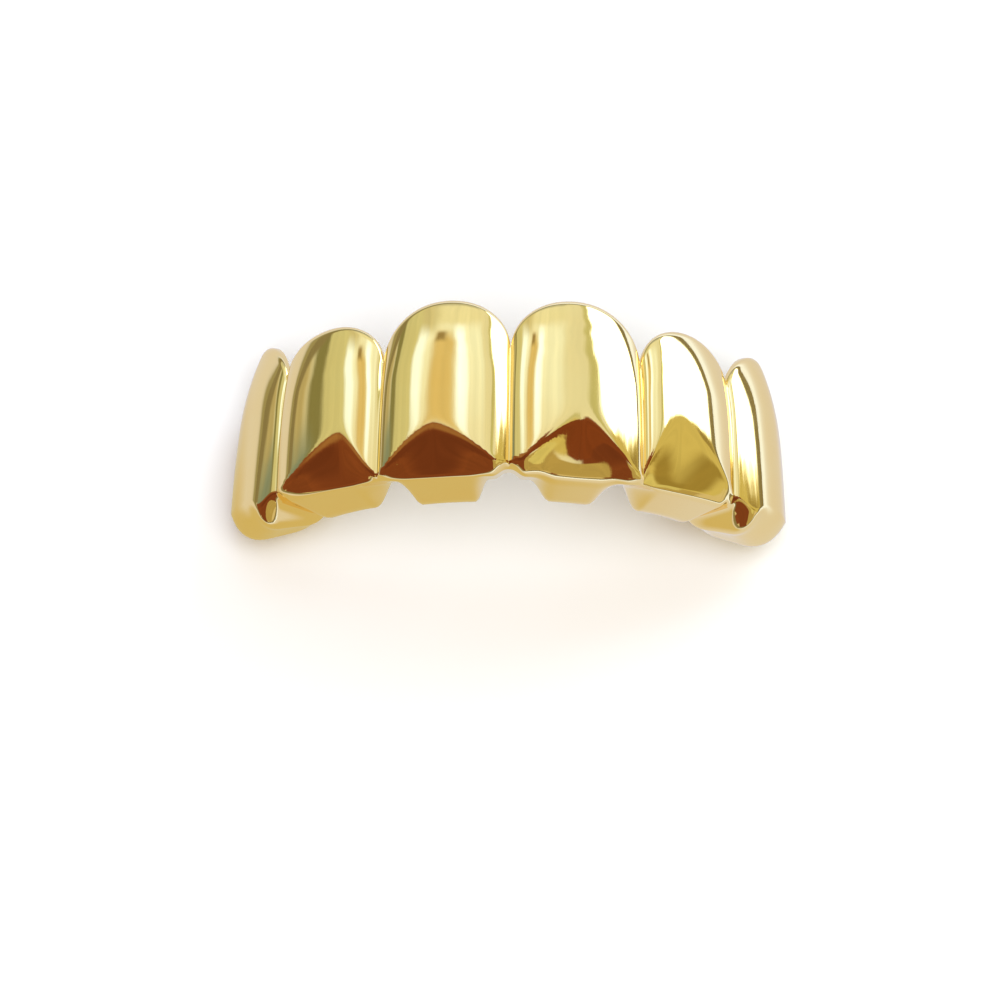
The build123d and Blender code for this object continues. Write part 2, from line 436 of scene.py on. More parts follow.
@dataclass
class Arch:
    """The line that the row of caps follows, seen from above."""

    casting: Casting
    run_out: float = 1.0
    step: float = 0.03

    def arcs(self, side: Side) -> list[Arc]:
        """Find the arcs of one side, from the midline to the end of the row.

        Args:
            side: Side of the midline.

        Returns:
            The arcs of the central, the lateral and the canine.
        """
        sizes = self.casting
        caps = sizes.caps(side)
        widths = (sizes.central_width * caps[CENTRAL].width, sizes.lateral_width * caps[LATERAL].width)
        turns = (math.radians(sizes.central_turn), math.radians(sizes.lateral_turn))
        found: list[Arc] = []
        x = z = heading = 0.0
        for width, turn in zip(widths, turns):
            arc = Arc(x, z, heading, turn, width / (2.0 * math.sin(turn / 2.0)))
            found.append(arc)
            x, z = arc.at(1.0)
            heading += turn
        rest = math.pi / 2.0 - heading
        found.append(Arc(x, z, heading, rest, (sizes.arch_depth + z) / math.cos(heading)))
        return found

    def length(self, side: Side) -> float:
        """Length of one side from the midline to its end."""
        return sum(arc.length for arc in self.arcs(side))

    def points(self) -> list[Point3]:
        """Give close points of the whole line from the left end to the right one, with a straight run-out.

        Returns:
            The points, with the arch in the plane of X and Z.
        """
        halves: dict[Side, list[Point3]] = {}
        for side in Side:
            half: list[Point3] = []
            for arc in self.arcs(side):
                count = math.ceil(arc.length / self.step)
                for k in range(1, count + 1):
                    x, z = arc.at(k / count)
                    half.append((side.value * x, 0.0, z))
            x, _, z = half[-1]
            half.append((x, 0.0, z - self.run_out))
            halves[side] = half
        return [*reversed(halves[Side.LEFT]), (0.0, 0.0, 0.0), *halves[Side.RIGHT]]

    def curve(self) -> bpy.types.Object:
        """Lay the line as a curve object in the scene.

        Returns:
            The curve object, in metres.
        """
        data = bpy.data.curves.new("arch_line", "CURVE")
        data.dimensions = "3D"
        points = self.points()
        spline = data.splines.new("POLY")
        spline.points.add(len(points) - 1)
        spline.points.foreach_set("co", [c for x, y, z in points for c in (x * MM, y * MM, z * MM, 1.0)])
        line = bpy.data.objects.new("arch_line", data)
        bpy.context.scene.collection.objects.link(line)
        return line


@dataclass
class Section:
    """Outline of the casting in an upright plane: sideways is out of the lips, up is to the gum."""

    casting: Casting
    fineness: Fineness
    levels: Levels

    def bevel_front(self, v: float) -> tuple[float, float]:
        """How far out the bevel lets the face stand at the share v of its height, and its lean there.

        Args:
            v: Share of the height, 0 at the biting edge.

        Returns:
            The distance outwards and the lean.
        """
        casting, levels = self.casting, self.levels
        reach = levels.bevel / (1.0 - (1.0 - 1.0 / casting.bevel_over) ** (1.0 / casting.bevel_power))
        low = max(0.0, (reach - v) / reach)
        most = casting.bevel_over * levels.full
        lean = most * casting.bevel_power / (reach * levels.height) * low ** (casting.bevel_power - 1.0)
        return most * (1.0 - low**casting.bevel_power), lean

    def domed(self, front: float) -> float:
        """Share of the bevel's reach that the dome leaves, near 1 where the bevel is the lower of the two."""
        blend, bulge = self.casting.bevel_blend, self.levels.bulge
        return bulge / (bulge**blend + front**blend) ** (1.0 / blend) if bulge > 0.0 else 0.0

    def rim_turn(self, v: float) -> float:
        """How far the share v of the height is into the turn to the gum, 0 to 1."""
        crest = self.casting.crest_share
        return max(0.0, (v - crest) / (1.0 - crest))

    def face_point(self, v: float) -> Point2:
        """Point of the outer face at the share v of its height.

        Args:
            v: Share of the height, 0 at the biting edge.

        Returns:
            The point.
        """
        casting, levels = self.casting, self.levels
        front, _ = self.bevel_front(v)
        x = front * self.domed(front)
        y = levels.bite + v * levels.height
        x += casting.flare * (1.0 - y / casting.heights[0])
        x -= casting.belly * (v / casting.belly_middle - 1.0) ** 2
        power = casting.side_power
        x -= levels.rim * (1.0 - casting.crest_share) * levels.height / power * self.rim_turn(v) ** power
        return (x, y)

    def face_slope(self, v: float) -> float:
        """Lean of the outer face at the share v of its height.

        Args:
            v: Share of the height, 0 at the biting edge.

        Returns:
            How far the face goes outwards for each millimetre upwards.
        """
        casting, levels = self.casting, self.levels
        front, lean = self.bevel_front(v)
        lean *= self.domed(front) ** (casting.bevel_blend + 1.0)
        middle = casting.belly_middle
        lean -= 2.0 * casting.belly * (v / middle - 1.0) / (middle * levels.height)
        lean -= levels.rim * self.rim_turn(v) ** (casting.side_power - 1.0)
        return lean - casting.flare / casting.heights[0]

    def corners(self) -> tuple[Point2, Point2, Point2]:
        """Sharp corners of the outer skin: biting edge, heel of the shelf and top of the lip.

        Returns:
            The three corners in that order.
        """
        edge = self.face_point(0.0)
        heel = (edge[0] - self.levels.depth, edge[1] + self.levels.rise)
        return edge, heel, (heel[0] - self.casting.lip_lean, self.levels.lip)

    def skin(
        self, face: list[Point2], corners: Sequence[Point2], rounds: Point2, divide: int
    ) -> list[Point2]:
        """Carry a face on round the biting edge, along the shelf and up the lip.

        Args:
            face: Points of the face from the gumline down.
            corners: Sharp corners under the face and at the back of the shelf, and the top of the lip.
            rounds: How far the roundings reach from the edge and from the heel.
            divide: How much coarser the steps are than on the outer skin.

        Returns:
            All points of the skin, down to just under the lip's top.
        """
        steps = self.fineness
        edge, heel, top = corners
        back, up = unit(edge, heel), unit(heel, top)
        points = list(face)
        points += rounded(points[-1], edge, added(edge, back, rounds[0]), steps.edge // divide)
        points += straight(points[-1], added(heel, back, -rounds[1]), steps.shelf // divide)
        points += rounded(points[-1], heel, added(heel, up, rounds[1]), steps.heel // divide)
        points += straight(points[-1], added(top, up, -self.casting.lip_fillet), steps.lip // divide)
        return points

    def outer(self) -> list[Point2]:
        """Points of the outer skin from the gumline to the lip.

        Returns:
            The points.
        """
        casting, steps = self.casting, self.fineness.face
        roll = casting.rim_roll
        start = self.levels.edge / self.levels.height
        face = []
        for k in range(steps + 1):
            v = between(1.0, start, (k / steps) ** self.fineness.face_crowding)
            x, y = self.face_point(v)
            near = clamp(1.0 - (self.levels.gum - y) / (2.0 * roll))
            face.append((x - roll * (1.0 - math.sqrt(1.0 - near**2)), y))
        corners = self.corners()
        heel_round = min(casting.heel_round, casting.heel_share * gap(corners[1], corners[2]))
        return self.skin(face, corners, (self.levels.edge, heel_round), 1)

    def inner_corners(self) -> tuple[Point2, Point2, Point2]:
        """Sharp corners of the inner skin, one wall inside the outer one.

        Returns:
            Corners at the biting edge, at the heel and at the top of the lip.
        """
        wall = self.casting.wall
        edge, heel, top = self.corners()
        down = unit((0.0, 0.0), (self.face_slope(0.0), 1.0))
        back, up = unit(edge, heel), unit(heel, top)
        face_in = added(edge, (-down[1], down[0]), wall)
        shelf_in = added(edge, (back[1], -back[0]), wall)
        lip_in = added(top, (up[1], -up[0]), wall)
        edge_in = crossing(face_in, down, shelf_in, back)
        heel_in = crossing(shelf_in, back, lip_in, up)
        return edge_in, heel_in, crossing(lip_in, up, top, (1.0, 0.0))

    def inner_face_point(self, y: float) -> Point2:
        """Point of the inner face at a height.

        Args:
            y: The height.

        Returns:
            The point, a wall's thickness inside the outer face.
        """
        v = (y - self.levels.bite) / self.levels.height
        x, _ = self.face_point(v)
        wall = between(self.casting.wall, self.casting.rim_wall, ease(self.casting.crest_share, 1.0, v))
        return (x - wall * math.hypot(1.0, self.face_slope(v)), y)

    def inner(self) -> list[Point2]:
        """Points of the inner skin from just under the gumline to the lip.

        Returns:
            The points.
        """
        casting = self.casting
        divide = self.fineness.inner_divide
        steps = self.fineness.face // divide
        corners = self.inner_corners()
        edge_round = max(self.levels.edge - casting.wall, casting.inner_edge_share * casting.wall)
        heel_round = min(casting.heel_round - casting.wall, casting.heel_share * gap(corners[1], corners[2]))
        top = self.levels.gum - casting.rim_fillet
        bottom = corners[0][1] + edge_round
        shares = [(k / steps) ** self.fineness.inner_crowding for k in range(steps + 1)]
        face = [self.inner_face_point(between(top, bottom, share)) for share in shares]
        return self.skin(face, corners, (edge_round, heel_round), divide)


@dataclass
class Column:
    """One station of the row: its outer and inner outlines, with the place of each along the arch."""

    outer_at: float
    inner_at: float
    outer: list[Point2]
    inner: list[Point2]
    rim_corner: Point2
    lip_outer: Point2
    lip_inner: Point2
    groove: float

    def lip_bridge(self, count: int) -> list[Point3]:
        """Rounded top of the lip from the outer to the inner skin, without its two ends.

        Args:
            count: How many steps the bridge has.

        Returns:
            The points between its ends.
        """
        near, far = self.lip_outer, self.lip_inner
        middle = (between(near[0], far[0], 0.5), between(near[1], far[1], 0.5))
        half = count // 2
        path = rounded(self.outer[-1], near, middle, half) + rounded(middle, far, self.inner[-1], half)
        return self.spread(path[:-1], count)

    def rim_bridge(self, count: int) -> list[Point3]:
        """Rounded gum rim from the outer to the inner skin, without its two ends."""
        return self.spread(rounded(self.outer[0], self.rim_corner, self.inner[0], count)[:-1], count)

    def spread(self, path: Sequence[Point2], count: int) -> list[Point3]:
        """Set the points of a bridge evenly between the two skins' places along the arch."""
        places = [between(self.outer_at, self.inner_at, (k + 1) / count) for k in range(len(path))]
        return [(place, y, x) for place, (x, y) in zip(places, path)]

    def loop(self, count: int) -> list[Point3]:
        """The whole outline, closed: outer skin, lip, inner skin upwards and gum rim.

        Args:
            count: How many steps each bridge has.

        Returns:
            The points of the outline, once round.
        """
        outside = [(self.outer_at, y, x) for x, y in self.outer]
        inside = [(self.inner_at, y, x) for x, y in self.inner]
        return outside + self.lip_bridge(count) + inside[::-1] + self.rim_bridge(count)[::-1]


@dataclass
class MeshParts:
    """Vertices and faces of a mesh while it is put together."""

    vertices: list[Point3] = field(default_factory=list)
    faces: list[tuple[int, ...]] = field(default_factory=list)
    inside: list[float] = field(default_factory=list)
    groove: list[float] = field(default_factory=list)

    def ring(self, points: Sequence[Point3], inside: Sequence[float], groove: float) -> list[int]:
        """Add vertices and give their numbers.

        Args:
            points: Places of the vertices.
            inside: For each, 1 on the inner skin and 0 on the outer one.
            groove: How near all of them are to a groove, 0 to 1.

        Returns:
            The numbers of the new vertices.
        """
        first = len(self.vertices)
        self.vertices.extend(points)
        self.inside.extend(inside)
        self.groove.extend([groove] * len(points))
        return list(range(first, first + len(points)))

    def band(self, a: Sequence[int], b: Sequence[int], closed: bool, turned: bool = False) -> None:
        """Join two rows of vertices with faces.

        Args:
            a: First row.
            b: Second row, of the same length.
            closed: Whether the rows run round and meet their own start.
            turned: Whether the faces look the other way.
        """
        count = len(a) if closed else len(a) - 1
        for k in range(count):
            n = (k + 1) % len(a)
            quad = (a[k], a[n], b[n], b[k])
            self.faces.append(quad[::-1] if turned else quad)


@dataclass
class ToothCover:
    """The one-piece casting: six caps, the shelf under their edges, the lip behind and the end walls."""

    casting: Casting = field(default_factory=Casting)
    fineness: Fineness = field(default_factory=Fineness)
    uneven_height: float = 0.018
    uneven_length: float = 4.5
    grain_height: float = 0.0010
    grain_length: float = 0.9
    seed: int = 4

    def column(self, side: Side, index: int, across: Point2, places: Point2, set_in: float) -> Column:
        """Cut the row at one station.

        Args:
            side: Side of the midline.
            index: Cap from the midline outwards.
            across: Places of the outer and the inner skin across the cap, -1 to 1.
            places: Places of the outer and the inner skin along the arch.
            set_in: How far both skins are set in, for the rounded corners of the end wall.

        Returns:
            The station's outlines.
        """
        outside = self.casting.levels(side, index, across[0])
        within = replace(self.casting.levels(side, index, across[1]), gum=outside.gum)
        outer_cut = Section(self.casting, self.fineness, outside)
        inner_cut = Section(self.casting, self.fineness, within)
        _, _, lip_outer = outer_cut.corners()
        _, _, lip_inner = inner_cut.inner_corners()
        rim_corner = inner_cut.inner_face_point(outside.gum)
        outer = inset([*outer_cut.outer(), lip_outer], set_in)
        inner = inset([*inner_cut.inner(), lip_inner], set_in)
        drop = (0.0, -set_in)
        return Column(
            outer_at=side.value * places[0],
            inner_at=side.value * places[1],
            outer=outer[:-1],
            inner=inner[:-1],
            rim_corner=added(rim_corner, drop),
            lip_outer=outer[-1],
            lip_inner=added(lip_inner, drop),
            groove=abs(across[0]),
        )

    def stops(self, length: float, index: int) -> Iterator[Point3]:
        """Give the stations along one arc.

        Args:
            length: Length of the arc.
            index: Cap from the midline outwards.

        Yields:
            Places of the outer and the inner skin along the arc, and how far they are set in.
        """
        casting, steps = self.casting, self.fineness
        last = index == CANINE
        outer_end = length - casting.end_round if last else length
        inner_end = length - casting.wall - casting.end_round if last else length
        for k in range(1 if index else 0, steps.across + 1):
            even = k / steps.across
            share = between(0.5 - 0.5 * math.cos(math.pi * even), even, steps.evenness)
            yield share * outer_end, share * inner_end, 0.0
        for k in range(1, steps.turn + 1 if last else 1):
            angle = math.pi / 2 * k / steps.turn
            ahead = casting.end_round * math.sin(angle)
            yield outer_end + ahead, inner_end + ahead, casting.end_round * (1.0 - math.cos(angle))

    def side_columns(self, side: Side) -> Iterator[Column]:
        """Cut one side of the row, station by station from the midline to the end wall.

        Args:
            side: Side of the midline.

        Yields:
            The stations in order.
        """
        start = 0.0
        for index, arc in enumerate(Arch(self.casting).arcs(side)):
            for at, at_in, set_in in self.stops(arc.length, index):
                across = (2 * at / arc.length - 1, 2 * at_in / arc.length - 1)
                yield self.column(side, index, across, (start + at, start + at_in), set_in)
            start += arc.length

    def close_end(self, parts: MeshParts, column: Column, ring: list[int], turned: bool) -> None:
        """Close one end of the row with its wall and the wall's rounded free edge.

        Args:
            parts: The mesh so far.
            column: The last station.
            ring: That station's vertices.
            turned: Whether the faces look the other way, as on the right.
        """
        steps = self.fineness
        outer_count, inner_count, bridge = len(column.outer), len(column.inner), steps.rim - 1
        outer = ring[:outer_count]
        lip = ring[outer_count : outer_count + bridge]
        inner = ring[outer_count + bridge : outer_count + bridge + inner_count][::-1]
        rim = ring[outer_count + bridge + inner_count :][::-1]
        lip_row = [outer[-1], *lip, inner[-1]]
        rim_row = [outer[0], *rim, inner[0]]
        rows = [lip_row]
        for k in range(1, steps.end_edge):
            share = k / steps.end_edge
            ends = [(parts.vertices[a], parts.vertices[b]) for a, b in zip(lip_row, rim_row)]
            points = [tuple(between(p, q, share) for p, q in zip(*pair)) for pair in ends]
            rows.append(parts.ring(points, [0.5] * len(points), 0.0))
        rows.append(rim_row)
        for a, b in zip(rows, rows[1:]):
            parts.band(a, b, closed=False, turned=not turned)
        self.close_wall(parts, [*outer, *[row[0] for row in rows[1:-1]]], column.outer_at, not turned, 0.0)
        self.close_wall(parts, [*inner, *[row[-1] for row in rows[1:-1]]], column.inner_at, turned, 1.0)

    def close_wall(self, parts: MeshParts, ring: list[int], at: float, turned: bool, inside: float) -> None:
        """Fill one face of an end wall, with a narrow flat margin that keeps its shading even.

        Args:
            parts: The mesh so far.
            ring: Vertices around the face.
            at: Place of the face along the arch.
            turned: Whether the face looks the other way.
            inside: 1 on the inner skin, 0 on the outer one.
        """
        outline = [(parts.vertices[n][2], parts.vertices[n][1]) for n in ring]
        points = [(at, y, x) for x, y in inset(outline, self.casting.end_margin)]
        margin = parts.ring(points, [inside] * len(points), 0.0)
        parts.band(ring, margin, closed=True, turned=turned)
        parts.faces.append(tuple(reversed(margin)) if turned else tuple(margin))

    def flat_row(self) -> bpy.types.Object:
        """Build the row laid out straight: X along the arch, Y to the gum and Z out of the lips.

        Returns:
            The row as an object in the scene, in metres.
        """
        parts = MeshParts()
        steps = self.fineness
        columns = [*list(self.side_columns(Side.LEFT))[:0:-1], *self.side_columns(Side.RIGHT)]
        rings = []
        for column in columns:
            loop = column.loop(steps.rim)
            inner_from = len(column.outer) + steps.rim - 1
            inner_to = inner_from + len(column.inner)
            inside = [1.0 if inner_from <= k < inner_to else 0.0 for k in range(len(loop))]
            rings.append(parts.ring(loop, inside, column.groove))
        for a, b in zip(rings, rings[1:]):
            parts.band(a, b, closed=True)
        self.close_end(parts, columns[0], rings[0], turned=False)
        self.close_end(parts, columns[-1], rings[-1], turned=True)
        mesh = bpy.data.meshes.new("tooth_cover_row")
        mesh.from_pydata([(x * MM, y * MM, z * MM) for x, y, z in parts.vertices], [], parts.faces)
        for name, values in (("inside", parts.inside), ("groove", parts.groove)):
            mesh.attributes.new(name, "FLOAT", "POINT").data.foreach_set("value", values)
        row = bpy.data.objects.new("tooth_cover_row", mesh)
        bpy.context.scene.collection.objects.link(row)
        return row

    def build(self, finish: "GoldPlate") -> bpy.types.Object:
        """Make the finished piece.

        Args:
            finish: The plate on it.

        Returns:
            The cover as a plain mesh in the part's own frame.
        """
        line = Arch(self.casting).curve()
        row = self.flat_row()
        material = finish.material()
        tree = BendAlongArch().tree()
        modifier = row.modifiers.new("bend", "NODES")
        modifier.node_group = tree
        values = {
            "Arch": line,
            "Midline": (Arch(self.casting).length(Side.LEFT) + Arch(self.casting).run_out) * MM,
            "Uneven Height": self.uneven_height * MM,
            "Uneven Length": self.uneven_length * MM,
            "Grain Height": self.grain_height * MM,
            "Grain Length": self.grain_length * MM,
            "Seed": self.seed,
            "Plate": material,
        }
        for item in tree.interface.items_tree:
            if item.item_type == "SOCKET" and item.in_out == "INPUT" and item.name in values:
                modifier[item.identifier] = values[item.name]
        bpy.context.view_layer.update()
        evaluated = row.evaluated_get(bpy.context.evaluated_depsgraph_get())
        mesh = bpy.data.meshes.new_from_object(evaluated)
        mesh.name = "gold_tooth_cover"
        for helper in (row, line):
            bpy.data.objects.remove(helper)
        self.settle(mesh)
        cover = bpy.data.objects.new("gold_tooth_cover", mesh)
        bpy.context.scene.collection.objects.link(cover)
        return cover

    def settle(self, mesh: bpy.types.Mesh) -> None:
        """Move the mesh to where the solid is: middles together, end walls on the floor.

        Args:
            mesh: The bent mesh, which is moved.
        """
        low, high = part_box("tooth_cover")
        xs, ys, zs = zip(*(vertex.co for vertex in mesh.vertices))
        across = (low.x + high.x - min(xs) - max(xs)) / 2
        upward = (low.y + high.y - min(ys) - max(ys)) / 2
        shift = Vector((across, upward, low.z - min(zs)))
        for vertex in mesh.vertices:
            vertex.co += shift
        mesh.update()


@dataclass
class NodeBench:
    """A node tree with short calls that add and join its nodes."""

    tree: bpy.types.NodeTree

    def add(self, kind: str, **settings: object) -> bpy.types.Node:
        """Add a node and set its properties.

        Args:
            kind: Type of the node.
            **settings: Its properties by name.

        Returns:
            The node.
        """
        node = self.tree.nodes.new(kind)
        for name, value in settings.items():
            setattr(node, name, value)
        return node

    def join(self, source: Socket, target: Socket) -> None:
        """Link two sockets."""
        self.tree.links.new(source, target)

    def feed(self, target: Socket, value: object) -> None:
        """Give a socket another socket or a plain value.

        Args:
            target: The socket.
            value: Another socket, which is linked to it, or its value.
        """
        if isinstance(value, Socket):
            self.join(value, target)
        else:
            target.default_value = value

    def math(self, operation: str, *values: object) -> Socket:
        """Add a Math node on up to three sockets or numbers.

        Args:
            operation: What it works out.
            *values: Sockets or numbers, in the order of the inputs.

        Returns:
            The result.
        """
        node = self.add("ShaderNodeMath", operation=operation)
        for socket, value in zip(node.inputs, values):
            self.feed(socket, value)
        return node.outputs[0]

    def vector(self, operation: str, *values: object) -> Socket:
        """Add a Vector Math node and give its vector result.

        Args:
            operation: What it works out.
            *values: Sockets or vectors, in the order of the inputs.

        Returns:
            The resulting vector, or the number of a dot product.
        """
        node = self.add("ShaderNodeVectorMath", operation=operation)
        for name, value in zip(("Vector", "Vector_001", "Vector_002"), values):
            self.feed(next(s for s in node.inputs if s.identifier == name), value)
        return node.outputs["Value" if operation == "DOT_PRODUCT" else "Vector"]

    def scaled(self, vector: Socket, factor: object) -> Socket:
        """Multiply a vector by a number.

        Args:
            vector: The vector.
            factor: Socket or number to multiply it by.

        Returns:
            The longer or shorter vector.
        """
        node = self.add("ShaderNodeVectorMath", operation="SCALE")
        self.feed(node.inputs["Vector"], vector)
        self.feed(node.inputs["Scale"], factor)
        return node.outputs["Vector"]

    def step(self, value: Socket, low: float, high: float) -> Socket:
        """Turn a value into a smooth step between two limits.

        Args:
            value: The value.
            low: Where the step starts, at 0.
            high: Where it ends, at 1.

        Returns:
            The step, 0 to 1.
        """
        node = self.add("ShaderNodeMapRange", interpolation_type="SMOOTHSTEP")
        self.feed(node.inputs["Value"], value)
        self.feed(node.inputs["From Min"], low)
        self.feed(node.inputs["From Max"], high)
        return node.outputs["Result"]

    def blend(self, factor: object, first: object, second: object) -> Socket:
        """Mix two colours.

        Args:
            factor: 0 for the first to 1 for the second.
            first: Socket or colour.
            second: Socket or colour.

        Returns:
            The mixed colour.
        """
        node = self.add("ShaderNodeMix", data_type="RGBA")
        for identifier, value in (("Factor_Float", factor), ("A_Color", first), ("B_Color", second)):
            self.feed(next(s for s in node.inputs if s.identifier == identifier), value)
        return next(s for s in node.outputs if s.identifier == "Result_Color")

    def noise(self, vector: Socket, scale: object, detail: float, seed: object = 0.0) -> Socket:
        """Add a noise pattern and give its value.

        Args:
            vector: The place.
            scale: How many waves there are in a length of 1.
            detail: How many finer layers there are.
            seed: Which of the noises it is.

        Returns:
            The value, about 0.5.
        """
        node = self.add("ShaderNodeTexNoise", noise_dimensions="4D")
        self.feed(node.inputs["Vector"], vector)
        self.feed(node.inputs["W"], seed)
        self.feed(node.inputs["Scale"], scale)
        self.feed(node.inputs["Detail"], detail)
        return node.outputs[0]

    def clouds(self, vector: Socket, scale: float, detail: float, roughness: float = 0.5) -> bpy.types.Node:
        """Add a noise node for patterns in the room, and give the node itself.

        Args:
            vector: The place.
            scale: How many waves there are in a length of 1.
            detail: How many finer layers there are.
            roughness: How strong the finer layers are.

        Returns:
            The noise node.
        """
        node = self.add("ShaderNodeTexNoise")
        self.feed(node.inputs["Vector"], vector)
        self.feed(node.inputs["Scale"], scale)
        self.feed(node.inputs["Detail"], detail)
        self.feed(node.inputs["Roughness"], roughness)
        return node

    def parts(self, vector: Socket) -> bpy.types.bpy_prop_collection:
        """Split a vector into its X, Y and Z outputs.

        Args:
            vector: The vector.

        Returns:
            The outputs, by name.
        """
        node = self.add("ShaderNodeSeparateXYZ")
        self.join(vector, node.inputs[0])
        return node.outputs


@dataclass
class BendAlongArch:
    """Node tree that bends a straight row along the arch and makes its skin uneven, as by hand polishing."""

    name: str = "bend_along_arch"

    def sockets(self, tree: bpy.types.NodeTree) -> None:
        """Name the tree's inputs and its output.

        Args:
            tree: The tree, without sockets.
        """
        tree.interface.new_socket("Geometry", in_out="OUTPUT", socket_type="NodeSocketGeometry")
        kinds = {
            "Geometry": "NodeSocketGeometry",
            "Arch": "NodeSocketObject",
            "Midline": "NodeSocketFloat",
            "Uneven Height": "NodeSocketFloat",
            "Uneven Length": "NodeSocketFloat",
            "Grain Height": "NodeSocketFloat",
            "Grain Length": "NodeSocketFloat",
            "Seed": "NodeSocketInt",
            "Plate": "NodeSocketMaterial",
        }
        for name, kind in kinds.items():
            tree.interface.new_socket(name, in_out="INPUT", socket_type=kind)

    def bent_position(self, bench: NodeBench, given: bpy.types.Node) -> Socket:
        """Carry each point of the straight row onto the arch.

        Args:
            bench: The tree's bench.
            given: The tree's input node.

        Returns:
            The new position: along the curve, out of it and up.
        """
        parts = bench.parts(bench.add("GeometryNodeInputPosition").outputs[0])
        line = bench.add("GeometryNodeObjectInfo")
        bench.join(given.outputs["Arch"], line.inputs["Object"])
        sample = bench.add("GeometryNodeSampleCurve", mode="LENGTH", use_all_curves=True)
        bench.join(line.outputs["Geometry"], sample.inputs["Curves"])
        bench.join(bench.math("ADD", parts["X"], given.outputs["Midline"]), sample.inputs["Length"])
        square = bench.vector("CROSS_PRODUCT", sample.outputs["Tangent"], (0.0, 1.0, 0.0))
        outward = bench.vector("NORMALIZE", square)
        upward = bench.add("ShaderNodeCombineXYZ")
        bench.join(parts["Y"], upward.inputs["Y"])
        onto = bench.vector("ADD", sample.outputs["Position"], bench.scaled(outward, parts["Z"]))
        return bench.vector("ADD", onto, upward.outputs[0])

    def ripple(self, bench: NodeBench, given: bpy.types.Node, height: str, length: str) -> Socket:
        """Offset along the normal by one noise.

        Args:
            bench: The tree's bench.
            given: The tree's input node.
            height: Name of the input with the noise's height.
            length: Name of the input with its wavelength.

        Returns:
            The offset, in and out by up to the height.
        """
        position = bench.add("GeometryNodeInputPosition").outputs[0]
        normal = bench.add("GeometryNodeInputNormal").outputs[0]
        scale = bench.math("DIVIDE", 1.0, given.outputs[length])
        value = bench.noise(position, scale, detail=0.0, seed=given.outputs["Seed"])
        amount = bench.math("MULTIPLY", bench.math("SUBTRACT", value, 0.5), given.outputs[height])
        return bench.scaled(normal, bench.math("MULTIPLY", amount, 2.0))

    def tree(self) -> bpy.types.NodeTree:
        """Build the tree, from the straight row to the dressed casting.

        Returns:
            The tree, which ends in one real mesh with its material.
        """
        tree = bpy.data.node_groups.new(self.name, "GeometryNodeTree")
        self.sockets(tree)
        bench = NodeBench(tree)
        given = bench.add("NodeGroupInput")
        bend = bench.add("GeometryNodeSetPosition")
        bench.join(given.outputs["Geometry"], bend.inputs["Geometry"])
        bench.join(self.bent_position(bench, given), bend.inputs["Position"])
        uneven = bench.add("GeometryNodeSetPosition")
        bench.join(bend.outputs[0], uneven.inputs["Geometry"])
        waves = self.ripple(bench, given, "Uneven Height", "Uneven Length")
        grain = self.ripple(bench, given, "Grain Height", "Grain Length")
        bench.join(bench.vector("ADD", waves, grain), uneven.inputs["Offset"])
        smooth = bench.add("GeometryNodeSetShadeSmooth")
        bench.join(uneven.outputs[0], smooth.inputs["Geometry"])
        real = bench.add("GeometryNodeRealizeInstances")
        bench.join(smooth.outputs[0], real.inputs["Geometry"])
        dress = bench.add("GeometryNodeSetMaterial")
        bench.join(real.outputs[0], dress.inputs["Geometry"])
        bench.join(given.outputs["Plate"], dress.inputs["Material"])
        result = bench.add("NodeGroupOutput")
        bench.join(dress.outputs[0], result.inputs[0])
        return tree


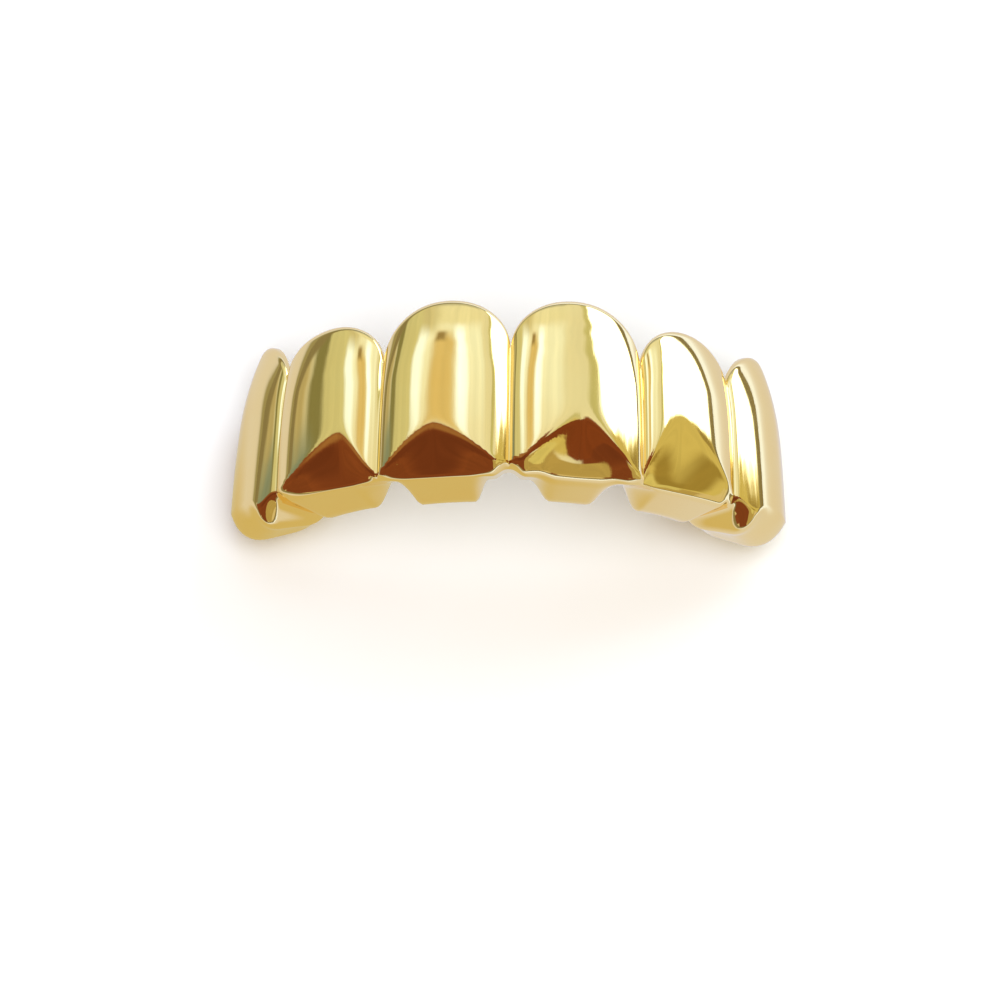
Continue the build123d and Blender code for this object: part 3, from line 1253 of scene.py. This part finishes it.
@dataclass(frozen=True)
class GoldPlate:
    """Polished yellow gold plate on the casting, duller and grainy on the inner skin.

    The sizes of patterns are noise scales, in cycles a metre, and the depths of the relief are in metres.
    """

    colour: Colour = (1.0, 0.775, 0.34)
    # Deeper colour of the random patches, also used for the painted shade in the grooves
    deep_tone_and_shade_colour: Colour = (1.0, 0.70, 0.25)
    patch_size: float = 260.0
    patch_limits: Point2 = (0.35, 0.75)
    patch_share: float = 0.25
    # Painted shade: the colour deepens towards the grooves between the caps, from this nearness on and by
    # this share
    groove_shade_from: float = 0.9
    groove_shade_share: float = 0.1
    roughness: float = 0.045
    haze_size: float = 420.0
    haze_limits: Point2 = (0.4, 0.8)
    haze: float = 0.035
    dull: float = 0.30
    line_sizes: Point3 = (9000.0, 700.0, 2500.0)
    line_turn: float = 0.35
    line_depth: float = 0.0000006
    grain_size: float = 3800.0
    grain_depth: float = 0.00003

    def material(self) -> bpy.types.Material:
        """Build the plate's shader.

        Returns:
            The material.
        """
        material = bpy.data.materials.new("gold_plate")
        material.use_nodes = True
        bench = NodeBench(material.node_tree)
        shader = material.node_tree.nodes["Principled BSDF"]
        shader.inputs["Metallic"].default_value = 1.0
        place = bench.add("ShaderNodeTexCoord").outputs["Object"]
        inside = bench.add("ShaderNodeAttribute", attribute_name="inside").outputs["Fac"]
        groove = bench.add("ShaderNodeAttribute", attribute_name="groove").outputs["Fac"]
        bench.join(self.tint(bench, place, groove), shader.inputs["Base Color"])
        bench.join(self.gloss(bench, place, inside), shader.inputs["Roughness"])
        bench.join(self.relief(bench, place, inside), shader.inputs["Normal"])
        return material

    def tint(self, bench: NodeBench, place: Socket, groove: Socket) -> Socket:
        """Colour the plate: a little deeper in random patches, and deeper down in the grooves as painted
        shade between the caps.

        Args:
            bench: The bench of the shader's nodes.
            place: The point on the casting, in metres.
            groove: How near the point is to a groove, 0 to 1.

        Returns:
            The base colour.
        """
        patches = bench.step(bench.noise(place, self.patch_size, detail=2.0, seed=3.0), *self.patch_limits)
        # Painted shade down in the grooves between the caps
        narrow = bench.step(groove, self.groove_shade_from, 1.0)
        in_patches = bench.math("MULTIPLY", patches, self.patch_share)
        shade_in_grooves = bench.math("MULTIPLY", narrow, self.groove_shade_share)
        deeper = bench.math("MAXIMUM", in_patches, shade_in_grooves)
        return bench.blend(deeper, (*self.colour, 1.0), (*self.deep_tone_and_shade_colour, 1.0))

    def gloss(self, bench: NodeBench, place: Socket, inside: Socket) -> Socket:
        """Polish the outside like a mirror, with faint haze where the buff passed over less.

        Args:
            bench: The bench of the shader's nodes.
            place: The point on the casting, in metres.
            inside: 1 on the inner skin, 0 on the outer one.

        Returns:
            The roughness.
        """
        haze = bench.step(bench.noise(place, self.haze_size, detail=3.0, seed=7.0), *self.haze_limits)
        polished = bench.math("MULTIPLY_ADD", haze, self.haze, self.roughness)
        return bench.math("MULTIPLY_ADD", inside, self.dull, polished)

    def relief(self, bench: NodeBench, place: Socket, inside: Socket) -> Socket:
        """Add hair-fine polishing lines outside and the grain of the mould inside.

        Args:
            bench: The bench of the shader's nodes.
            place: The point on the casting, in metres.
            inside: 1 on the inner skin, 0 on the outer one.

        Returns:
            The normal.
        """
        drawn = bench.add("ShaderNodeMapping", vector_type="POINT")
        bench.join(place, drawn.inputs["Vector"])
        drawn.inputs["Rotation"].default_value = (0.0, 0.0, self.line_turn)
        drawn.inputs["Scale"].default_value = self.line_sizes
        lines = bench.noise(drawn.outputs[0], 1.0, detail=2.0, seed=11.0)
        grain = bench.noise(place, self.grain_size, detail=3.0, seed=13.0)
        bump = bench.add("ShaderNodeBump")
        bump.inputs["Strength"].default_value = 1.0
        depth = bench.math("MULTIPLY_ADD", inside, self.grain_depth, self.line_depth)
        bench.join(depth, bump.inputs["Distance"])
        bench.join(bench.blend(inside, lines, grain), bump.inputs["Height"])
        return bump.outputs[0]


@dataclass(frozen=True)
class Patch:
    """Something of the room around the part, placed by the small mirror that would show it from the front.

    The mirror's turn is to the right of straight up and its tilt is towards the gum side, both in degrees.
    The halves are how far the patch reaches from its middle, and soft is the share of them over which its
    edge fades. A higher square makes it squarer, and share is how much it hides of what is behind it.
    """

    turn: float
    tilt: float
    half_turn: float
    half_tilt: float
    colour: Colour
    soft: float = 0.2
    square: float = 4.0
    share: float = 1.0


# The room around the part, back to front: a later patch hides what is behind it.
ROOM_PATCHES = (
    # Pale bands overhead, dimmer towards the gum side
    Patch(-2.0, 10.0, 15.0, 7.0, (0.96, 1.12, 1.28), 0.5),
    Patch(-2.0, 21.0, 20.0, 4.5, (0.85, 0.92, 0.86), 0.4),
    Patch(-2.0, 27.5, 20.0, 3.5, (0.55, 0.60, 0.60), 0.4),
    # Grey-green on the left, with a dark upright band and a dim one beyond it
    Patch(-19.0, 21.0, 7.5, 7.5, (0.63, 0.64, 0.50), 0.4),
    Patch(-24.5, 12.0, 6.5, 40.0, (0.64, 0.68, 0.50), 0.35),
    Patch(-32.0, 8.0, 2.3, 40.0, (0.23, 0.24, 0.13), 0.5),
    Patch(-38.5, 0.0, 3.6, 40.0, (0.48, 0.45, 0.31), 0.4),
    # Two bright upright bands, and between them a tan one with a dark spot at its top
    Patch(-4.8, 7.5, 2.0, 7.0, (1.15, 1.5, 2.4), 0.5),
    Patch(-17.0, 7.5, 2.2, 7.0, (1.05, 1.35, 2.0), 0.5),
    Patch(-9.8, 6.0, 2.6, 7.0, (0.72, 0.62, 0.36), 0.5),
    Patch(-10.6, 11.5, 1.2, 1.8, (0.32, 0.26, 0.14), 0.6),
    # White on the right, with a green-grey and a gold band along its left side
    Patch(9.5, 12.0, 3.0, 22.0, (0.80, 0.86, 0.83), 0.5),
    Patch(12.2, 12.0, 1.2, 22.0, (0.55, 0.58, 0.36), 0.5),
    Patch(31.0, 18.0, 18.0, 17.2, (3.2, 3.7, 4.4), 0.03, 6.0),
    # Tan towards the front, and gold under the white
    Patch(0.0, -55.0, 70.0, 34.0, (0.66, 0.60, 0.42), 0.05, 6.0),
    Patch(31.0, -10.0, 18.0, 12.0, (0.62, 0.56, 0.24), 0.06, 5.0),
    # Brown in the lower facets, darker in its middle and redder along its top, and a patch right of it
    Patch(-17.5, -21.0, 26.5, 19.0, (0.22, 0.066, 0.028), 0.04, 8.0),
    Patch(-11.0, -46.0, 20.0, 14.0, (0.20, 0.060, 0.026), 0.05, 6.0),
    Patch(-10.0, -19.0, 18.0, 9.0, (0.13, 0.035, 0.018), 0.5, 3.0, 0.7),
    Patch(-16.0, -6.0, 12.0, 4.0, (0.36, 0.19, 0.08), 0.6, 2.0, 0.8),
    Patch(8.5, -12.3, 9.8, 5.3, (0.20, 0.055, 0.022), 0.05, 7.0),
    # Gold in the lower facets on the right, with a pale and a dark part
    Patch(17.5, -36.0, 14.5, 15.0, (0.46, 0.38, 0.17), 0.06, 7.0),
    Patch(22.5, -27.0, 5.0, 9.0, (0.66, 0.64, 0.32), 0.10, 4.0),
    Patch(29.0, -15.5, 6.0, 3.2, (0.34, 0.27, 0.08), 0.5, 3.0),
    # A small teal patch at the far left and a dark gold one at the far right
    Patch(-37.0, -2.0, 5.0, 3.8, (0.24, 0.32, 0.33), 0.4),
    Patch(35.5, -0.6, 4.5, 1.9, (0.34, 0.28, 0.11), 0.3),
)


@dataclass
class Room:
    """What surrounds the part and shows in its polish."""

    viewer_elevation: float
    base: Colour = (0.85, 0.92, 0.95)
    patches: tuple[Patch, ...] = ROOM_PATCHES
    horizon: Colour = (0.25, 0.23, 0.15)
    horizon_height: float = 0.13
    horizon_full: float = 0.6
    strength: float = 1.0
    unevenness: float = 0.05
    wave_size: float = 3.0
    jags: float = 1.2
    jag_size: float = 0.30
    jag_roughness: float = 0.6
    streaks: float = 0.22
    streak_size: float = 0.45
    streak_run: float = 0.06

    def build(self) -> None:
        """Light the part from the room around it, patch by patch."""
        world = bpy.data.worlds.new("room")
        world.use_nodes = True
        bpy.context.scene.world = world
        bench = NodeBench(world.node_tree)
        background = world.node_tree.nodes["Background"]
        towards = bench.vector("NORMALIZE", bench.add("ShaderNodeTexCoord").outputs["Generated"])
        turn, tilt = self.mirror(bench, towards)
        colour: object = (*self.base, 1.0)
        for patch in self.patches:
            colour = bench.blend(self.reach(bench, patch, turn, tilt), colour, (*patch.colour, 1.0))
        colour = bench.blend(self.low(bench, towards), colour, (*self.horizon, 1.0))
        bench.feed(background.inputs["Color"], bench.scaled(colour, self.streaked(bench, turn, tilt)))
        background.inputs["Strength"].default_value = self.strength

    def mirror(self, bench: NodeBench, towards: Socket) -> tuple[Socket, Socket]:
        """Find the turn and tilt, in degrees, of the mirror that shows a direction to a viewer at the front.

        Args:
            bench: The bench of the room's nodes.
            towards: The direction.

        Returns:
            Its turn and its tilt, with the slight waviness of hand-polished metal.
        """
        elevation = math.radians(self.viewer_elevation)
        clouds = bench.clouds(towards, self.wave_size, detail=2.0)
        wave = bench.vector("SUBTRACT", clouds.outputs["Color"], (0.5, 0.5, 0.5))
        facing = bench.vector("ADD", towards, (0.0, -math.cos(elevation), math.sin(elevation)))
        facing = bench.vector("ADD", facing, bench.scaled(wave, 2.0 * self.unevenness))
        parts = bench.parts(bench.vector("NORMALIZE", facing))
        turn = bench.math("DEGREES", bench.math("ARCTAN2", parts["X"], parts["Z"]))
        tilt = bench.math("DEGREES", bench.math("ARCSINE", parts["Y"]))
        return turn, bench.math("ADD", tilt, self.jagged(bench, turn))

    def jagged(self, bench: NodeBench, turn: Socket) -> Socket:
        """Give the small upright jags of everything's edges, in degrees of tilt.

        Args:
            bench: The bench of the room's nodes.
            turn: Turn of the mirror, in degrees.

        Returns:
            What is added to the tilt.
        """
        place = bench.add("ShaderNodeCombineXYZ")
        bench.join(turn, place.inputs["X"])
        clouds = bench.clouds(place.outputs[0], self.jag_size, detail=3.0, roughness=self.jag_roughness)
        return bench.math("MULTIPLY", bench.math("SUBTRACT", clouds.outputs[0], 0.5), 2.0 * self.jags)

    def reach(self, bench: NodeBench, patch: Patch, turn: Socket, tilt: Socket) -> Socket:
        """Work out how far a place is inside a patch.

        Args:
            bench: The bench of the room's nodes.
            patch: The patch.
            turn: Turn of the place.
            tilt: Tilt of the place.

        Returns:
            0 outside to the patch's share inside.
        """
        terms = []
        for value, middle, half in ((turn, patch.turn, patch.half_turn), (tilt, patch.tilt, patch.half_tilt)):
            offset = bench.math("ABSOLUTE", bench.math("DIVIDE", bench.math("SUBTRACT", value, middle), half))
            terms.append(bench.math("POWER", offset, patch.square))
        distance = bench.math("POWER", bench.math("ADD", *terms), 1.0 / patch.square)
        inside = bench.step(distance, 1.0 + patch.soft, 1.0 - patch.soft)
        return bench.math("MULTIPLY", inside, patch.share)

    def low(self, bench: NodeBench, towards: Socket) -> Socket:
        """Work out how far a direction is down in the dark strip around the floor's edge."""
        height = bench.parts(towards)["Z"]
        return bench.step(height, self.horizon_height, self.horizon_height * self.horizon_full)

    def streaked(self, bench: NodeBench, turn: Socket, tilt: Socket) -> Socket:
        """Give the uneven brightness of the room in upright streaks, about 1.

        Args:
            bench: The bench of the room's nodes.
            turn: Turn of the mirror, in degrees.
            tilt: Its tilt, in degrees.

        Returns:
            The brightness.
        """
        place = bench.add("ShaderNodeCombineXYZ")
        bench.join(turn, place.inputs["X"])
        bench.join(bench.math("MULTIPLY", tilt, self.streak_run), place.inputs["Y"])
        value = bench.clouds(place.outputs[0], self.streak_size, detail=3.0).outputs[0]
        return bench.math("MULTIPLY_ADD", bench.math("SUBTRACT", value, 0.5), 2.0 * self.streaks, 1.0)


@dataclass
class Sheet:
    """White sheet on the floor, whose reflection in the polish is painted: painted shade near the part, dim
    and warm as if lit by the gold.

    The painted colours follow the distance from the spot under the part's front, between the lengths of
    reach_near and then of reach_far, and far away they are painted shade on the left and painted light on the
    right. Lengths are in metres.
    """

    half: float = 4.0
    height: float = -0.00002
    white: Colour = (0.93, 0.93, 0.93)
    roughness: float = 0.9
    specular: float = 0.1
    spot: Point3 = (-0.016, -0.022, 0.0)
    # Painted shade near the part, warm as if lit by the gold, and paler painted shade beside it
    near: Colour = (0.64, 0.56, 0.32)
    beside: Colour = (0.74, 0.75, 0.88)
    # Painted shade far to the left and painted light far to the right
    painted_shade_far_left: Colour = (0.34, 0.33, 0.22)
    painted_light_far_right: Colour = (1.00, 1.20, 1.90)
    sides: Point2 = (-0.10, 0.04)
    reach_near: Point2 = (0.016, 0.036)
    reach_far: Point2 = (0.050, 0.160)

    def build(self) -> None:
        """Lay the sheet under the end walls."""
        mesh = bpy.data.meshes.new("studio_floor")
        signs = ((-1, -1), (1, -1), (1, 1), (-1, 1))
        corners = [(x * self.half, y * self.half, self.height) for x, y in signs]
        mesh.from_pydata(corners, [], [(0, 1, 2, 3)])
        mesh.materials.append(self.material())
        floor = bpy.data.objects.new("studio_floor", mesh)
        bpy.context.scene.collection.objects.link(floor)

    def material(self) -> bpy.types.Material:
        """Build the sheet's shader, white but for the painted reflection that glossy rays see of it.

        Returns:
            The material.
        """
        material = bpy.data.materials.new("studio_white")
        material.use_nodes = True
        bench = NodeBench(material.node_tree)
        shader = material.node_tree.nodes["Principled BSDF"]
        shader.inputs["Base Color"].default_value = (*self.white, 1.0)
        shader.inputs["Roughness"].default_value = self.roughness
        shader.inputs["Specular IOR Level"].default_value = self.specular
        # Emission that only glossy rays see: the sheet's painted reflection, with painted shade and painted
        # light
        painted_reflection = bench.add("ShaderNodeEmission")
        bench.feed(painted_reflection.inputs["Color"], self.painted_reflection(bench))
        mix = bench.add("ShaderNodeMixShader")
        bench.join(bench.add("ShaderNodeLightPath").outputs["Is Glossy Ray"], mix.inputs["Fac"])
        bench.join(shader.outputs["BSDF"], mix.inputs[1])
        bench.join(painted_reflection.outputs["Emission"], mix.inputs[2])
        bench.join(mix.outputs[0], material.node_tree.nodes["Material Output"].inputs["Surface"])
        return material

    def painted_reflection(self, bench: NodeBench) -> Socket:
        """Paint what the polish shows of the sheet: painted shade and painted light, not the sheet's own
        colour.

        Args:
            bench: The bench of the shader's nodes.

        Returns:
            The colour at a point of the sheet.
        """
        offset = bench.vector("SUBTRACT", bench.add("ShaderNodeTexCoord").outputs["Object"], self.spot)
        away = bench.math("SQRT", bench.vector("DOT_PRODUCT", offset, offset))
        side = bench.step(bench.parts(offset)["X"], *self.sides)
        close = bench.blend(bench.step(away, *self.reach_near), (*self.near, 1.0), (*self.beside, 1.0))
        far = bench.blend(side, (*self.painted_shade_far_left, 1.0), (*self.painted_light_far_right, 1.0))
        return bench.blend(bench.step(away, *self.reach_far), close, far)


@dataclass
class View:
    """Camera at the photograph's angle above the floor. Lengths are in metres, the lens in millimetres."""

    elevation: float = 65.0
    distance: float = 0.300
    aim: Point3 = (-0.000015, -0.001848, 0.00630)
    lens: float = 142.56
    sensor: float = 36.0
    roll: float = 0.9
    aim_pixel: Point2 = (509.0, 452.0)
    image_size: float = 1000.0
    clip: Point2 = (0.01, 20.0)

    def build(self) -> None:
        """Set up the camera so that what it is aimed at lies on the aim's pixel."""
        data = bpy.data.cameras.new("view")
        data.sensor_width = self.sensor
        data.lens = self.lens
        data.shift_x = (self.image_size / 2 - self.aim_pixel[0]) / self.image_size
        data.shift_y = (self.aim_pixel[1] - self.image_size / 2) / self.image_size
        data.clip_start, data.clip_end = self.clip
        camera = bpy.data.objects.new("view", data)
        elevation = math.radians(self.elevation)
        back = Vector((0.0, -math.cos(elevation), math.sin(elevation)))
        camera.location = Vector(self.aim) + back * self.distance
        camera.rotation_mode = "QUATERNION"
        roll = Quaternion((0.0, 0.0, 1.0), math.radians(self.roll))
        camera.rotation_quaternion = (-back).to_track_quat("-Z", "Y") @ roll
        bpy.context.scene.collection.objects.link(camera)
        bpy.context.scene.camera = camera


@dataclass
class SoftLamp:
    """Large soft lamp high over the floor, which the polish doesn't show. Lengths are in metres."""

    size: float = 1.2
    place: Point3 = (0.10, -0.35, 1.0)
    power: float = 12.0
    colour: Colour = (0.93, 0.97, 1.0)

    def build(self) -> None:
        """Hang the lamp, facing the part."""
        data = bpy.data.lights.new("soft_lamp", "AREA")
        data.shape, data.size = "DISK", self.size
        data.energy = self.power
        data.color = self.colour
        lamp = bpy.data.objects.new("soft_lamp", data)
        lamp.location = self.place
        lamp.rotation_mode = "QUATERNION"
        lamp.rotation_quaternion = lamp.location.to_track_quat("Z", "Y")
        lamp.visible_glossy = False
        bpy.context.scene.collection.objects.link(lamp)


@dataclass
class Studio:
    """Floor, camera and light around the part."""

    sheet: Sheet = field(default_factory=Sheet)
    view: View = field(default_factory=View)
    lamp: SoftLamp = field(default_factory=SoftLamp)

    def build(self) -> None:
        """Put up floor, camera and light."""
        self.sheet.build()
        self.view.build()
        self.lamp.build()
        Room(self.view.elevation).build()
        bpy.context.scene.view_settings.view_transform = "Standard"


def main() -> None:
    """Build the dressed part and the studio in order."""
    logging.basicConfig(level=logging.INFO, format="%(name)s: %(message)s")
    Studio().build()
    LOG.info("studio built")
    cover = ToothCover().build(GoldPlate())
    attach(cover, "root")
    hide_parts("tooth_cover")
    LOG.info("%s: %d vertices, %d faces", cover.name, len(cover.data.vertices), len(cover.data.polygons))


if __name__ == "__main__":
    main()
